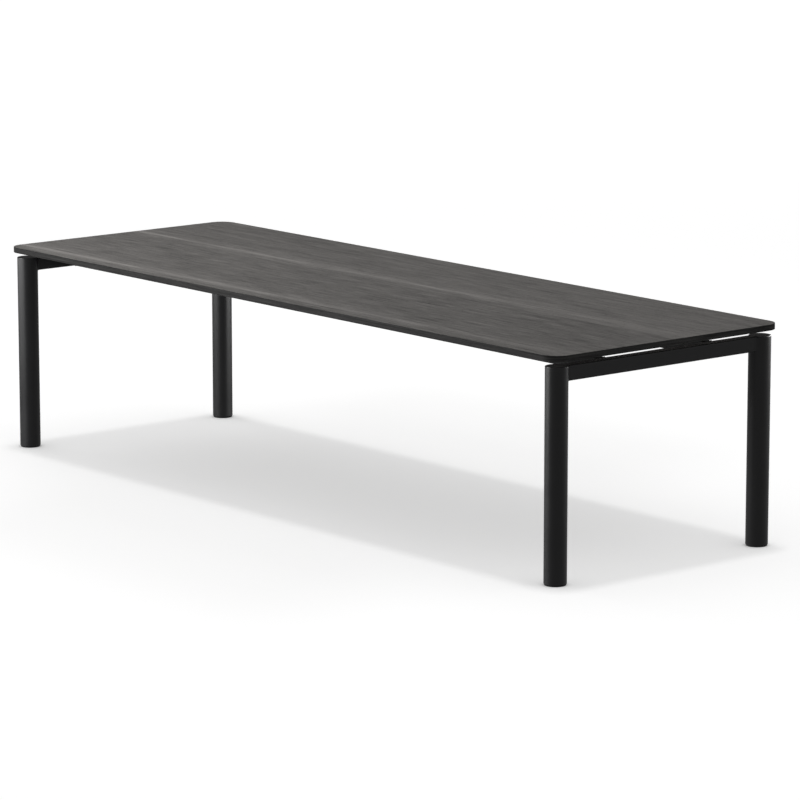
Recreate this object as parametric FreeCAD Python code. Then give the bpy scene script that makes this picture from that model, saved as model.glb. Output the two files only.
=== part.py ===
import FreeCAD, Part
import math
import os

# Dining table: a veneered top that floats on spacers over a bolted frame of steel tube.
# Millimetres. +X runs along the length, +Y to the back, +Z up.
# The origin lies on the floor under the middle of the top.

# Table top
table_height = 745.0
top_length = 3000.0
top_width = 1000.0
top_thickness = 20.0
top_corner_radius = 60.0
veneer_thickness = 1.0
edge_band_thickness = 2.0
edge_band_arris_radius = 0.8

# Legs
leg_diameter = 75.0
leg_wall = 3.0
leg_inset_from_end = 50.0
leg_inset_from_side = 54.0
leg_rim_radius = 2.0
leg_cap_thickness = 4.0

# Rectangular tube of the end rails and the long beams
tube_height = 50.0
rail_width = 40.0
beam_width = 30.0
tube_wall = 2.0
tube_corner_radius = 4.0
beam_spacing = 470.0

# Spacers that hold the top above the beams
spacer_height = 20.0
spacer_diameter = 22.0
spacers_per_beam = 5
spacer_end_distance = 135.0

# Screws that hold the top down, and the inserts that they go into
top_screw_diameter = 6.0
top_screw_head_diameter = 10.5
top_screw_head_height = 3.3
top_screw_socket_width = 4.0
top_screw_socket_depth = 2.0
top_screw_tip_clearance = 1.5
top_washer_diameter = 12.0
top_washer_thickness = 1.6
top_insert_diameter = 10.0
top_insert_length = 11.0
top_insert_hole_spare_depth = 1.0
screw_access_clearance = 1.0

# Bolted joint between a beam and an end rail
end_plate_thickness = 6.0
end_plate_height_margin = 2.0
end_plate_side_margin = 12.0
end_plate_corner_radius = 4.0
beam_bolt_diameter = 8.0
beam_bolt_head_diameter = 13.0
beam_bolt_head_height = 8.0
beam_bolt_socket_width = 6.0
beam_bolt_socket_depth = 4.0
beam_bolt_engagement = 11.0
beam_bolt_to_tube = 15.0
beam_washer_diameter = 16.0
beam_washer_thickness = 1.6
rivet_nut_diameter = 11.0
rivet_nut_length = 14.0
rivet_nut_flange_diameter = 14.0
rivet_nut_flange_thickness = 1.0

# Levelling feet
foot_travel = 12.0
pad_height = 5.0
pad_step = 2.0
pad_edge_radius = 1.5
pad_boss_diameter = 24.0
pad_boss_height = 8.0
pad_socket_floor = 2.5
stem_diameter = 10.0
stem_flange_diameter = 14.0
stem_flange_thickness = 3.5
stem_collar_width = 17.0
stem_collar_thickness = 6.0
stem_spare_length = 6.0
stem_tip_chamfer = 1.0

# Plug and threaded insert in the bottom of each leg
plug_height = 32.0
plug_wall = 3.0
plug_floor = 4.0
plug_pocket_clearance = 4.0
plug_boss_wall = 3.5
plug_ribs = 6
plug_rib_thickness = 2.5
foot_insert_diameter = 15.0
foot_insert_length = 15.0
foot_insert_collar_diameter = 18.0
foot_insert_collar_thickness = 2.0

# Fits, all on the radius or along one axis
running_clearance = 0.05
seat_clearance = 0.3
bolt_hole_clearance = 0.4

# The most of a wall that a rounded edge may take
rounding_limit = 0.8

# Places that follow from the sizes above
underside = table_height - top_thickness
frame_top = underside - spacer_height
tube_centre_height = frame_top - tube_height / 2
leg_radius = leg_diameter / 2
leg_x = top_length / 2 - leg_inset_from_end
leg_y = top_width / 2 - leg_inset_from_side
rail_inner_x = leg_x - rail_width / 2
beam_y = beam_spacing / 2
beam_half_length = rail_inner_x - end_plate_thickness
bolt_offset = beam_width / 2 + beam_bolt_to_tube
leg_bore_radius = leg_radius - leg_wall

ENDS = {"left": -1, "right": 1}
SIDES = {"front": -1, "back": 1}
CORNERS = {f"{side}_{end}": (ENDS[end], SIDES[side]) for side in SIDES for end in ENDS}

X_AXIS = FreeCAD.Vector(1, 0, 0)
Y_AXIS = FreeCAD.Vector(0, 1, 0)
Z_AXIS = FreeCAD.Vector(0, 0, 1)


def vector(x, y, z):
    """Point or direction."""
    return FreeCAD.Vector(x, y, z)


def save(name, shape):
    """Writes one node, a solid or a group of solids."""
    solids = shape.Solids
    whole = solids[0] if len(solids) == 1 else Part.makeCompound(solids)
    whole.exportStep(os.path.join("parts", name + ".step"))


def save_group(name, shapes):
    """Writes a node that is a group of like solids."""
    save(name, Part.makeCompound(shapes))


def rounded_block(size, radius, axis):
    """Block centred on the origin, with the four edges along one axis rounded."""
    block = Part.makeBox(size.x, size.y, size.z, size * -0.5)
    edges = [edge for edge in block.Edges if abs(edge.tangentAt(edge.FirstParameter).dot(axis)) > 0.99]
    return block.makeFillet(radius, edges)


def turned(corners):
    """Solid turned about Z from corners given as radius and height."""
    points = [vector(radius, 0, height) for radius, height in corners]
    profile = Part.Face(Part.makePolygon(points + points[:1]))
    return profile.revolve(vector(0, 0, 0), Z_AXIS, 360)


def hexagon_prism(width, height):
    """Hexagon along Z from the origin, with its width across flats."""
    radius = width / math.sqrt(3)
    angles = [math.radians(60 * step) for step in range(7)]
    points = [vector(radius * math.cos(angle), radius * math.sin(angle), 0) for angle in angles]
    return Part.Face(Part.makePolygon(points)).extrude(Z_AXIS * height)


def ring(outer_diameter, bore_radius, height):
    """Washer, spacer or sleeve that stands on the origin along Z."""
    outer = Part.makeCylinder(outer_diameter / 2, height)
    return outer.cut(Part.makeCylinder(bore_radius, height))


def aimed(shape, direction, place):
    """Copy of a shape made along Z, turned to a direction and moved to its place."""
    turn = FreeCAD.Rotation(Z_AXIS, direction)
    return shape.transformed(FreeCAD.Placement(place, turn).toMatrix(), True)


def socket_screw(diameter, length, head_diameter, head_height, socket_width, socket_depth):
    """Screw with a plain shank up from the origin, and its socketed head below."""
    shank = Part.makeCylinder(diameter / 2, length)
    head = Part.makeCylinder(head_diameter / 2, head_height, vector(0, 0, -head_height))
    socket = hexagon_prism(socket_width, socket_depth).translated(vector(0, 0, -head_height))
    return shank.fuse(head).removeSplitter().cut(socket)


def rectangular_tube(length, width, axis):
    """Hollow tube with rounded corners, centred on the origin along X or Y."""
    across = Y_AXIS if axis == X_AXIS else X_AXIS
    outer_size = axis * length + across * width + Z_AXIS * tube_height
    inner_size = outer_size - (across + Z_AXIS) * 2 * tube_wall
    inner_radius = max(tube_corner_radius - tube_wall, tube_wall / 4)
    outer = rounded_block(outer_size, tube_corner_radius, axis)
    return outer.cut(rounded_block(inner_size, inner_radius, axis))


def spacer_places():
    """Places on the top of the beams where a spacer stands, by beam."""
    reach = rail_inner_x - spacer_end_distance
    step = 2 * reach / (spacers_per_beam - 1)
    places = {}
    for side, sign in SIDES.items():
        for number in range(spacers_per_beam):
            places[f"{side}_{number + 1}"] = vector(-reach + number * step, sign * beam_y, frame_top)
    return places


def bolt_places():
    """Each beam bolt as the direction it points in, and its place on the end rail's inner face."""
    places = []
    for x_sign, y_sign in CORNERS.values():
        for offset in (-bolt_offset, bolt_offset):
            place = vector(x_sign * rail_inner_x, y_sign * beam_y + offset, tube_centre_height)
            places.append((X_AXIS * x_sign, place))
    return places


def top_outline(inset, low, high):
    """Slab with the top's rounded outline, drawn in by an inset, between two heights."""
    size = vector(top_length - 2 * inset, top_width - 2 * inset, high - low)
    slab = rounded_block(size, top_corner_radius - inset, Z_AXIS)
    return slab.translated(vector(0, 0, (low + high) / 2))


def insert_holes():
    """The blind holes for the threaded inserts in the top's underside."""
    radius = top_insert_diameter / 2 + running_clearance
    depth = top_insert_length + top_insert_hole_spare_depth
    lift = Z_AXIS * spacer_height
    return [Part.makeCylinder(radius, depth, place + lift) for place in spacer_places().values()]


def build_top():
    """Core board, face and backing veneers, and the edge band round all three."""
    holes = insert_holes()
    core = top_outline(edge_band_thickness, underside + veneer_thickness, table_height - veneer_thickness)
    save("tabletop_core", core.cut(holes))
    save("face_veneer", top_outline(edge_band_thickness, table_height - veneer_thickness, table_height))
    backing = top_outline(edge_band_thickness, underside, underside + veneer_thickness)
    save("backing_veneer", backing.cut(holes))
    outer = top_outline(0, underside, table_height)
    rims = [edge for edge in outer.Edges if edge.BoundBox.ZLength < running_clearance]
    arris = min(edge_band_arris_radius, edge_band_thickness * rounding_limit)
    outer = outer.makeFillet(arris, rims)
    save("edge_band", outer.cut(top_outline(edge_band_thickness, underside, table_height)))


def build_leg(corner, x_sign, y_sign):
    """Leg tube with its welded cap disc, set flush in the top."""
    place = vector(x_sign * leg_x, y_sign * leg_y, 0)
    length = frame_top - pad_height
    outer = Part.makeCylinder(leg_radius, length, place + Z_AXIS * pad_height)
    rim = [edge for edge in outer.Edges if edge.BoundBox.ZMin > frame_top - running_clearance]
    outer = outer.makeFillet(min(leg_rim_radius, leg_wall * rounding_limit), rim)
    bore = Part.makeCylinder(leg_bore_radius, length, place + Z_AXIS * pad_height)
    save(f"leg_tube_{corner}", outer.cut(bore))
    cap_place = place + Z_AXIS * (frame_top - leg_cap_thickness)
    save(f"leg_cap_{corner}", Part.makeCylinder(leg_bore_radius, leg_cap_thickness, cap_place))


def build_end_rail(end, x_sign):
    """End rail, its ends coped to the round of the legs, with holes for the rivet nuts."""
    rail = rectangular_tube(2 * leg_y, rail_width, Y_AXIS)
    rail = rail.translated(vector(x_sign * leg_x, 0, tube_centre_height))
    cuts = []
    for y_sign in SIDES.values():
        cuts.append(Part.makeCylinder(leg_radius, frame_top, vector(x_sign * leg_x, y_sign * leg_y, 0)))
    hole = Part.makeCylinder(rivet_nut_diameter / 2 + running_clearance, 2 * tube_wall)
    for direction, place in bolt_places():
        if direction.x == x_sign:
            cuts.append(aimed(hole, direction, place - direction * tube_wall))
    save(f"end_rail_{end}", rail.cut(cuts))


def build_beam(side, y_sign):
    """Long beam, drilled above for the top screws and below for the driver that reaches them."""
    beam = rectangular_tube(2 * beam_half_length, beam_width, X_AXIS)
    beam = beam.translated(vector(0, y_sign * beam_y, tube_centre_height))
    screw_hole = Part.makeCylinder(top_screw_diameter / 2 + bolt_hole_clearance, 3 * tube_wall)
    access_radius = top_washer_diameter / 2 + screw_access_clearance
    access_hole = Part.makeCylinder(access_radius, 3 * tube_wall)
    cuts = []
    for name, place in spacer_places().items():
        if name.startswith(side):
            cuts.append(screw_hole.translated(place - Z_AXIS * 2 * tube_wall))
            cuts.append(access_hole.translated(place - Z_AXIS * (tube_height + tube_wall)))
    save(f"long_beam_{side}", beam.cut(cuts))


def build_end_plate(corner, x_sign, y_sign):
    """Plate welded to a beam's end, drilled for two bolts and relieved for the rivet nuts."""
    width = 2 * (bolt_offset + end_plate_side_margin)
    size = vector(end_plate_thickness, width, tube_height - 2 * end_plate_height_margin)
    plate = rounded_block(size, end_plate_corner_radius, X_AXIS)
    middle = vector(x_sign * (rail_inner_x - end_plate_thickness / 2), y_sign * beam_y, tube_centre_height)
    plate = plate.translated(middle)
    hole = Part.makeCylinder(beam_bolt_diameter / 2 + bolt_hole_clearance, 3 * end_plate_thickness)
    relief_depth = rivet_nut_flange_thickness + running_clearance
    relief = Part.makeCylinder(rivet_nut_flange_diameter / 2 + seat_clearance, 2 * relief_depth)
    cuts = []
    for direction, place in bolt_places():
        if direction.x == x_sign and place.y * y_sign > 0:
            cuts.append(aimed(hole, direction, place - direction * 2 * end_plate_thickness))
            cuts.append(aimed(relief, direction, place - direction * relief_depth))
    save(f"end_plate_{corner}", plate.cut(cuts))


def build_beam_fasteners():
    """Bolts, washers and rivet nuts of all four beam ends."""
    under_head = end_plate_thickness + beam_washer_thickness
    bolt = socket_screw(beam_bolt_diameter, under_head + beam_bolt_engagement, beam_bolt_head_diameter,
                        beam_bolt_head_height, beam_bolt_socket_width, beam_bolt_socket_depth)
    washer = ring(beam_washer_diameter, beam_bolt_diameter / 2 + bolt_hole_clearance, beam_washer_thickness)
    nut_bore = beam_bolt_diameter / 2 + running_clearance
    nut = ring(rivet_nut_diameter, nut_bore, rivet_nut_length)
    flange = ring(rivet_nut_flange_diameter, nut_bore, rivet_nut_flange_thickness)
    nut = nut.fuse(flange.translated(Z_AXIS * -rivet_nut_flange_thickness)).removeSplitter()
    bolts = []
    washers = []
    nuts = []
    for direction, place in bolt_places():
        bolts.append(aimed(bolt, direction, place - direction * under_head))
        washers.append(aimed(washer, direction, place - direction * under_head))
        nuts.append(aimed(nut, direction, place))
    save_group("beam_bolts", bolts)
    save_group("beam_washers", washers)
    save_group("rivet_nuts", nuts)


def build_top_fixings():
    """Spacers on the beams, and the screws, washers and inserts that hold the top down."""
    hole_radius = top_screw_diameter / 2 + bolt_hole_clearance
    spacer = ring(spacer_diameter, hole_radius, spacer_height)
    under_head = tube_wall + top_washer_thickness
    screw_length = under_head + spacer_height + top_insert_length - top_screw_tip_clearance
    screw = socket_screw(top_screw_diameter, screw_length, top_screw_head_diameter,
                         top_screw_head_height, top_screw_socket_width, top_screw_socket_depth)
    washer = ring(top_washer_diameter, hole_radius, top_washer_thickness)
    insert = ring(top_insert_diameter, top_screw_diameter / 2 + running_clearance, top_insert_length)
    screws = []
    washers = []
    inserts = []
    for name, place in spacer_places().items():
        save(f"spacer_{name}", spacer.translated(place))
        screws.append(screw.translated(place - Z_AXIS * under_head))
        washers.append(washer.translated(place - Z_AXIS * under_head))
        inserts.append(insert.translated(place + Z_AXIS * spacer_height))
    save_group("top_screws", screws)
    save_group("top_washers", washers)
    save_group("top_inserts", inserts)


def build_foot(corner, x_sign, y_sign):
    """Levelling foot: pad, stem that turns in it, and the plug and insert in the leg."""
    place = vector(x_sign * leg_x, y_sign * leg_y, 0)
    boss_top = pad_height + pad_boss_height
    flange_low = pad_socket_floor + running_clearance
    flange_top = flange_low + stem_flange_thickness
    collar_low = boss_top + seat_clearance
    pocket_top = collar_low + stem_collar_thickness + seat_clearance
    insert_top = pocket_top + foot_insert_length
    stem_radius = stem_diameter / 2

    pad_radius = leg_radius - pad_step
    pad = turned([
        (0, 0), (pad_radius, 0), (pad_radius, pad_height), (pad_boss_diameter / 2, pad_height),
        (pad_boss_diameter / 2, boss_top), (stem_radius + running_clearance, boss_top),
        (stem_radius + running_clearance, flange_top + running_clearance),
        (stem_flange_diameter / 2 + running_clearance, flange_top + running_clearance),
        (stem_flange_diameter / 2 + running_clearance, pad_socket_floor), (0, pad_socket_floor)])
    floor_edge = [edge for edge in pad.Edges if edge.BoundBox.ZMax < running_clearance]
    pad = pad.makeFillet(min(pad_edge_radius, pad_height * rounding_limit), floor_edge)
    save(f"foot_pad_{corner}", pad.translated(place))

    stem_top = insert_top + foot_travel + stem_spare_length
    stem = turned([
        (0, flange_low), (stem_flange_diameter / 2, flange_low),
        (stem_flange_diameter / 2, flange_top), (stem_radius, flange_top),
        (stem_radius, stem_top - stem_tip_chamfer), (stem_radius - stem_tip_chamfer, stem_top),
        (0, stem_top)])
    collar = hexagon_prism(stem_collar_width, stem_collar_thickness).translated(Z_AXIS * collar_low)
    save(f"foot_stem_{corner}", stem.fuse(collar).removeSplitter().translated(place))

    insert_bore = stem_radius + running_clearance
    insert = ring(foot_insert_diameter, insert_bore, foot_insert_length)
    insert_collar = ring(foot_insert_collar_diameter, insert_bore, foot_insert_collar_thickness)
    insert = insert.fuse(insert_collar).removeSplitter()
    save(f"foot_insert_{corner}", insert.translated(place + Z_AXIS * pocket_top))

    plug_top = pad_height + plug_height
    pocket_radius = pad_boss_diameter / 2 + plug_pocket_clearance
    cup_radius = pocket_radius + plug_wall
    cup_top = pocket_top + foot_insert_collar_thickness + plug_wall
    boss_radius = foot_insert_diameter / 2 + plug_boss_wall
    floor_top = pad_height + plug_floor
    sleeve_radius = leg_bore_radius - plug_wall
    collar_radius = foot_insert_collar_diameter / 2
    plug = turned([
        (leg_bore_radius, pad_height), (leg_bore_radius, plug_top), (sleeve_radius, plug_top),
        (sleeve_radius, floor_top), (cup_radius, floor_top), (cup_radius, cup_top), (boss_radius, cup_top),
        (boss_radius, insert_top), (foot_insert_diameter / 2, insert_top),
        (foot_insert_diameter / 2, pocket_top + foot_insert_collar_thickness),
        (collar_radius, pocket_top + foot_insert_collar_thickness), (collar_radius, pocket_top),
        (pocket_radius, pocket_top), (pocket_radius, pad_height)])
    rib_start = cup_radius - plug_wall / 2
    rib_length = sleeve_radius + plug_wall / 2 - rib_start
    rib = Part.makeBox(rib_length, plug_rib_thickness, cup_top - pad_height - plug_floor / 2,
                       vector(rib_start, -plug_rib_thickness / 2, pad_height + plug_floor / 2))
    ribs = [rib.rotated(vector(0, 0, 0), Z_AXIS, 360 * number / plug_ribs) for number in range(plug_ribs)]
    plug = plug.fuse(ribs).removeSplitter()
    save(f"leg_plug_{corner}", plug.translated(place))


os.makedirs("parts", exist_ok=True)
build_top()
for corner, (x_sign, y_sign) in CORNERS.items():
    build_leg(corner, x_sign, y_sign)
    build_foot(corner, x_sign, y_sign)
    build_end_plate(corner, x_sign, y_sign)
for end, x_sign in ENDS.items():
    build_end_rail(end, x_sign)
for side, y_sign in SIDES.items():
    build_beam(side, y_sign)
build_beam_fasteners()
build_top_fixings()
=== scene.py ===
"""Looks of a long dining table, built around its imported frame.

Every new surface is worked out as whole arrays: a grid over two parameters, or a profile carried
round a loop. Lengths are metres in the frame's axes: +X along the table, +Y to the back, +Z up.
"""
import logging
import math
from dataclasses import dataclass
from enum import Enum
from typing import Callable, ClassVar, Iterator, Sequence, Union

import bmesh
import bpy
import numpy as np
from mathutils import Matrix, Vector


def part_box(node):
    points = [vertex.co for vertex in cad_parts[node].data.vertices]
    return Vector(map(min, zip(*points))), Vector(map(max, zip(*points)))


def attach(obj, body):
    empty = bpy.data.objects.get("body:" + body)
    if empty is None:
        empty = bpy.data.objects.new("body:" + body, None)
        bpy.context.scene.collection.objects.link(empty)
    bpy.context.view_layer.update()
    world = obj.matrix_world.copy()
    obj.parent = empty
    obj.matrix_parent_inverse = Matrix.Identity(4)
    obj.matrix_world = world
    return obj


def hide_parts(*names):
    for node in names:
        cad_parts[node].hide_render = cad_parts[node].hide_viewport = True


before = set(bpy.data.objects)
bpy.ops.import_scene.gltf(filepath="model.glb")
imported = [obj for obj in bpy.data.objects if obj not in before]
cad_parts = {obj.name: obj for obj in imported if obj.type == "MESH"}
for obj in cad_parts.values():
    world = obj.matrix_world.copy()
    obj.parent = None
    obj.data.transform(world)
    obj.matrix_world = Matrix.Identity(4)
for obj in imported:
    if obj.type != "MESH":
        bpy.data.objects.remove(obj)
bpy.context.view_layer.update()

LOG = logging.getLogger("dining_table")
Array = np.ndarray
Colour = tuple[float, float, float, float]
MM = 0.001
FULL_TURN = 2 * math.pi
MERGE_DISTANCE = 1e-6
LEAST_ROUNDING = 1e-9
SHARP_ANGLE = math.radians(32)
TABLE_BODY = "table"


class Named(Enum):
    """A choice that the nodes spell in small letters."""

    @property
    def label(self) -> str:
        """The name as the nodes spell it."""
        return self.name.lower()


class Corner(Named):
    """The table's corners, by the signs of X and Y."""

    FRONT_LEFT = (-1, -1)
    FRONT_RIGHT = (1, -1)
    BACK_LEFT = (-1, 1)
    BACK_RIGHT = (1, 1)


class Side(Named):
    """The table's long sides, by the sign of Y."""

    FRONT = -1
    BACK = 1


class End(Named):
    """The table's short ends, by the sign of X."""

    LEFT = -1
    RIGHT = 1


class Value:
    """A shader socket that carries one number, with arithmetic that adds Math nodes."""

    def __init__(self, kit: "NodeKit", socket: bpy.types.NodeSocket) -> None:
        self.kit = kit
        self.socket = socket

    def math(self, operation: str, *others: "Number") -> "Value":
        """Joins this value to others by one Math node.

        Args:
            operation: the Math node's operation.
            others: the values that follow this one.

        Returns:
            The node's result.
        """
        inputs = dict(enumerate((self, *others)))
        node = self.kit.node("ShaderNodeMath", {"operation": operation}, inputs)
        return Value(self.kit, node.outputs[0])

    def __add__(self, other: "Number") -> "Value":
        """Sum."""
        return self.math("ADD", other)

    __radd__ = __add__

    def __mul__(self, other: "Number") -> "Value":
        """Product."""
        return self.math("MULTIPLY", other)

    __rmul__ = __mul__

    def __sub__(self, other: "Number") -> "Value":
        """Difference."""
        return self.math("SUBTRACT", other)

    def __rsub__(self, other: "Number") -> "Value":
        """Difference from a number on the left."""
        return (self * -1.0) + other

    def __truediv__(self, other: float) -> "Value":
        """Share by a plain number."""
        return self * (1.0 / other)

    def floor(self) -> "Value":
        """The whole number below."""
        return self.math("FLOOR")

    def size(self) -> "Value":
        """The value without its sign."""
        return self.math("ABSOLUTE")

    def stray(self, reach: float) -> "Value":
        """How far noise strays from its middle of a half, times a reach."""
        return (self - 0.5) * reach

    def lifted(self, floor: float) -> "Value":
        """A value from 0 to 1, lifted to run from a floor to 1."""
        return self * (1 - floor) + floor

    def mixed(self, other: "Value", share: float) -> "Value":
        """This value with a share of another in its place."""
        return self * (1 - share) + other * share

    def rise(self, low: float, high: float) -> "Value":
        """Smooth step from 0 at low to 1 at high, which may be the lower of the two."""
        node = self.kit.node(
            "ShaderNodeMapRange", {"interpolation_type": "SMOOTHSTEP"},
            {"Value": self, "From Min": low, "From Max": high, "To Min": 0.0, "To Max": 1.0})
        return Value(self.kit, node.outputs["Result"])


Number = Union[Value, float]
Setting = Union[str, bool, float]
Input = Union[Value, bpy.types.NodeSocket, float, tuple]
Inputs = dict[Union[str, int], Input]


class NodeKit:
    """Makes the nodes of one shader tree.

    A Mix node has sockets of the same name for each kind of data, so those for colours go by number.
    """

    mix_share: ClassVar[int] = 0
    mix_low: ClassVar[int] = 6
    mix_high: ClassVar[int] = 7
    mix_result: ClassVar[int] = 2

    def __init__(self, tree: bpy.types.NodeTree) -> None:
        """Starts from an empty tree."""
        self.tree = tree
        tree.nodes.clear()

    def node(self, kind: str, settings: dict[str, Setting], inputs: Inputs) -> bpy.types.Node:
        """Adds one node, with its settings first and then its sockets.

        Args:
            kind: the node's type.
            settings: properties of the node.
            inputs: socket names or numbers, each with a value or a link.

        Returns:
            The node.
        """
        made = self.tree.nodes.new(kind)
        for name, setting in settings.items():
            setattr(made, name, setting)
        for key, given in inputs.items():
            source = given.socket if isinstance(given, Value) else given
            if isinstance(source, bpy.types.NodeSocket):
                self.tree.links.new(source, made.inputs[key])
            else:
                made.inputs[key].default_value = source
        return made

    def place(self) -> tuple[Value, Value, Value]:
        """The shaded point in the piece's own coordinates, as three values."""
        return self.split(self.node("ShaderNodeTexCoord", {}, {}).outputs["Object"])

    def strip(self) -> tuple[Value, Value]:
        """The shaded point along and across the piece's own strip, from its UV map in metres."""
        along, across, _ = self.split(self.node("ShaderNodeTexCoord", {}, {}).outputs["UV"])
        return along, across

    def split(self, vector: bpy.types.NodeSocket) -> tuple[Value, Value, Value]:
        """The three parts of a vector."""
        parts = self.node("ShaderNodeSeparateXYZ", {}, {0: vector}).outputs
        return Value(self, parts[0]), Value(self, parts[1]), Value(self, parts[2])

    def noise(self, x: Number, y: Number, z: Number, detail: float = 2.0, roughness: float = 0.5) -> Value:
        """Soft noise with features about one unit across.

        Args:
            x: first coordinate.
            y: second coordinate.
            z: third coordinate.
            detail: how many finer layers are added.
            roughness: how strong the finer layers are.

        Returns:
            Noise from 0 to 1, about 0.5.
        """
        vector = self.node("ShaderNodeCombineXYZ", {}, {0: x, 1: y, 2: z}).outputs[0]
        node = self.node("ShaderNodeTexNoise", {"noise_dimensions": "3D"},
                         {"Vector": vector, "Scale": 1.0, "Detail": detail, "Roughness": roughness})
        return Value(self, node.outputs[0])

    def mottle(self, scale: float, detail: float = 2.0, roughness: float = 0.5,
               upright: float | None = None) -> Value:
        """Soft noise over the piece, with scale features to the metre, or upright ones along Z."""
        x, y, z = self.place()
        return self.noise(x * scale, y * scale, z * (upright or scale), detail, roughness)

    def blend(self, share: Number, low: Input, high: Input) -> bpy.types.NodeSocket:
        """Mixes two colours: a share of 0 gives the low one and 1 the high one."""
        node = self.node("ShaderNodeMix", {"data_type": "RGBA", "clamp_factor": True},
                         {self.mix_share: share, self.mix_low: low, self.mix_high: high})
        return node.outputs[self.mix_result]

    def relief(self, height: Value, depth: float, strength: float) -> bpy.types.NodeSocket:
        """Normal of fine relief, where a height of 1 is so many metres deep and a share of it shows."""
        node = self.node("ShaderNodeBump", {},
                         {"Height": height, "Distance": depth, "Strength": strength})
        return node.outputs["Normal"]

    def finish(self, inputs: Inputs) -> None:
        """Ends the tree with one Principled shader."""
        shader = self.node("ShaderNodeBsdfPrincipled", {}, inputs)
        self.node("ShaderNodeOutputMaterial", {}, {"Surface": shader.outputs[0]})


def grey(level: float, warmth: float = 0.0) -> Colour:
    """A grey with a little warmth, as a linear colour."""
    return level * (1 + warmth), level, level * (1 - warmth), 1.0


@dataclass(frozen=True)
class Finish:
    """A surface finish between a dark and a light colour, which makes its material once."""

    slot: str
    dark: Colour = grey(0.0)
    light: Colour = grey(1.0)
    roughness: float = 0.5
    specular: float = 0.5
    metallic: float = 0.0
    relief_depth: float = 0.05 * MM
    relief_share: float = 0.5
    made: ClassVar[dict[str, bpy.types.Material]] = {}

    def material(self) -> bpy.types.Material:
        """Makes the finish's material the first time it is asked for.

        Returns:
            The material.
        """
        if self.slot not in self.made:
            material = bpy.data.materials.new(self.slot)
            material.use_nodes = True
            self.paint(NodeKit(material.node_tree))
            self.made[self.slot] = material
        return self.made[self.slot]

    def paint(self, kit: NodeKit) -> None:
        """Adds the finish's nodes."""
        raise NotImplementedError

    def cover(self, kit: NodeKit, tone: Value, dullness: Value, height: Value) -> None:
        """Ends the finish's nodes with its shader.

        Args:
            kit: the material's nodes.
            tone: 0 for the dark colour and 1 for the light one.
            dullness: how much rougher than the finish's own roughness it is.
            height: the relief, about 0 to 1.
        """
        kit.finish({"Base Color": kit.blend(tone, self.dark, self.light),
                    "Roughness": dullness + self.roughness,
                    "Specular IOR Level": self.specular,
                    "Metallic": self.metallic,
                    "Normal": kit.relief(height, self.relief_depth, self.relief_share)})


@dataclass(frozen=True)
class GrainLayer:
    """One layer of wood grain: noise that is stretched along the grain.

    Along and across count its features to the metre.
    """

    along: float
    across: float
    strength: float
    detail: float = 2.0
    roughness: float = 0.5
    seed: float = 0.0

    def noise(self, kit: NodeKit, along: Value, across: Value, seed: Number) -> Value:
        """The layer's noise, from 0 to 1, at metres along and across the grain of one leaf."""
        depth = seed + self.seed
        return kit.noise(along * self.along, across * self.across, depth, self.detail, self.roughness)


@dataclass(frozen=True)
class OakFinish(Finish):
    """Black-stained oak under matt lacquer, with straight grain and open pores."""

    dark: Colour = grey(0.035, 0.045)
    light: Colour = grey(0.300, 0.046)
    roughness: float = 0.58
    specular: float = 0.15
    relief_depth: float = 0.12 * MM
    mean_tone: float = 0.243
    wander: GrainLayer = GrainLayer(0.9, 3.0, 0.016)
    cloud: GrainLayer = GrainLayer(2.2, 7.0, 0.13)
    figure: GrainLayer = GrainLayer(5.0, 85.0, 0.32, roughness=0.6, seed=3.0)
    rings: GrainLayer = GrainLayer(5.0, 230.0, 1.2, detail=4.0, roughness=0.7, seed=5.0)
    fibre: GrainLayer = GrainLayer(18.0, 1000.0, 0.30)
    pores: GrainLayer = GrainLayer(42.0, 1500.0, 0.30, detail=1.0)
    pore_range: tuple[float, float] = (0.60, 0.70)
    pore_rings: tuple[float, float] = (0.75, 0.45)
    tone_relief: float = 0.64
    sheen_tone: float = 0.25
    tone_dullness: float = 0.20
    pore_dullness: float = 0.2

    def grain(self, kit: NodeKit, along: Value, across: Value, seed: Number) -> tuple[Value, Value]:
        """Tone and pores of straight-grained oak.

        Slow clouds, the figure, growth rings and fibre are noise stretched along the grain, each
        finer across it than the last, and a pore is a short dark dash where a still finer noise
        is high and the ring is dark.

        Args:
            kit: the material's nodes.
            along: metres along the grain.
            across: metres across the grain.
            seed: a number that sets one leaf of veneer apart from another.

        Returns:
            How far the tone strays from its mean, and the pores, from 0 to 1.
        """
        line = across + self.wander.noise(kit, along, across, seed).stray(self.wander.strength)
        layers = (self.cloud, self.figure, self.rings, self.fibre, self.pores)
        cloud, figure, rings, fibre, pores = (layer.noise(kit, along, line, seed) for layer in layers)
        stray = (cloud.stray(self.cloud.strength) + figure.stray(self.figure.strength)
                 + rings.stray(self.rings.strength) + fibre.stray(self.fibre.strength))
        return stray, pores.rise(*self.pore_range) * rings.rise(*self.pore_rings)

    def lacquer(self, kit: NodeKit, tone: Value, pores: Value) -> None:
        """Colours the grain and lays a matt lacquer that sinks into the pores."""
        dullness = (tone - self.sheen_tone) * self.tone_dullness + pores * self.pore_dullness
        self.cover(kit, tone - pores * self.pores.strength, dullness, tone * self.tone_relief - pores)


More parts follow.
